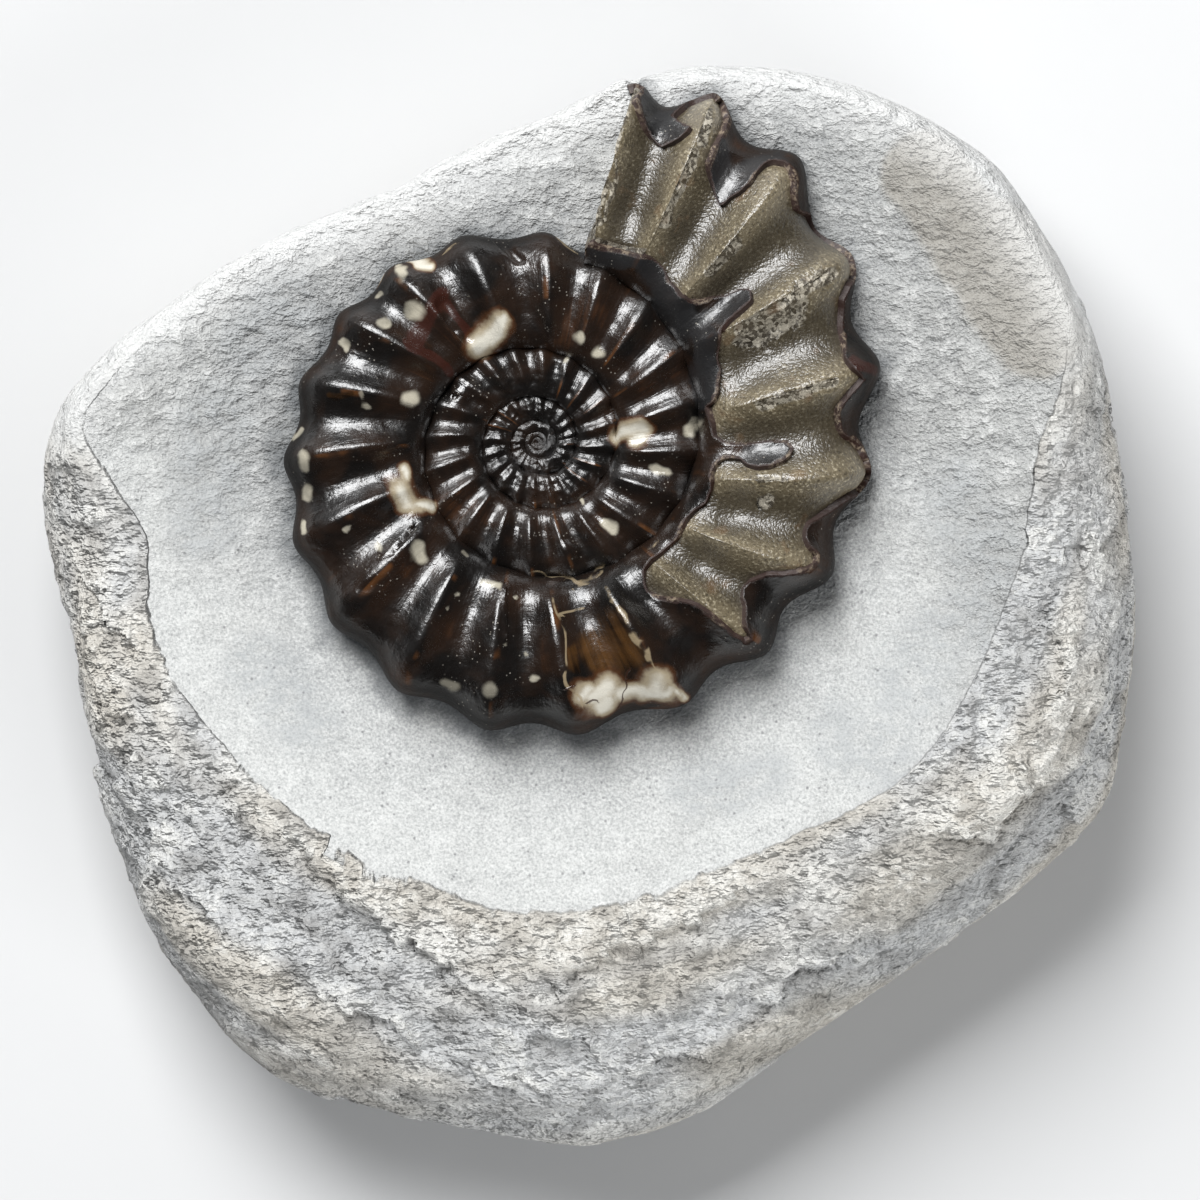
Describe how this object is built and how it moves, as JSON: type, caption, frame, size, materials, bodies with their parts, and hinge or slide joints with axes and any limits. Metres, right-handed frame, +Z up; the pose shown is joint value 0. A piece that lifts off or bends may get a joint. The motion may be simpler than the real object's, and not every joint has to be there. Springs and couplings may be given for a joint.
{
  "type": "androgynoceras ammonite fossil in a limestone nodule",
  "caption": "Dark ribbed ammonite fossil with a bare khaki body chamber, lying in the cleaned dish of a pale limestone nodule that rests on its flat base.",
  "frame": {"origin": "centre of the whole object's footprint, on the flat base of the nodule", "axes": "+Z up out of the dish, +Y towards the ammonite's open end, which is the top of the picture, +X to the picture's right"},
  "size_m": [0.1051, 0.1037, 0.0318],
  "materials": {
    "limestone": "pale grey limestone, fine and dusty in the dish, rough and broken at the rim",
    "calcite_shell": "near-black to amber-brown calcite with cream spots, polished to a gloss",
    "sediment_mould": "khaki granular sediment with a satin sheen"
  },
  "bodies": {
    "root": {"matrix": "limestone", "shell": "calcite_shell", "body_chamber_mould": "sediment_mould"}
  },
  "joints": []
}
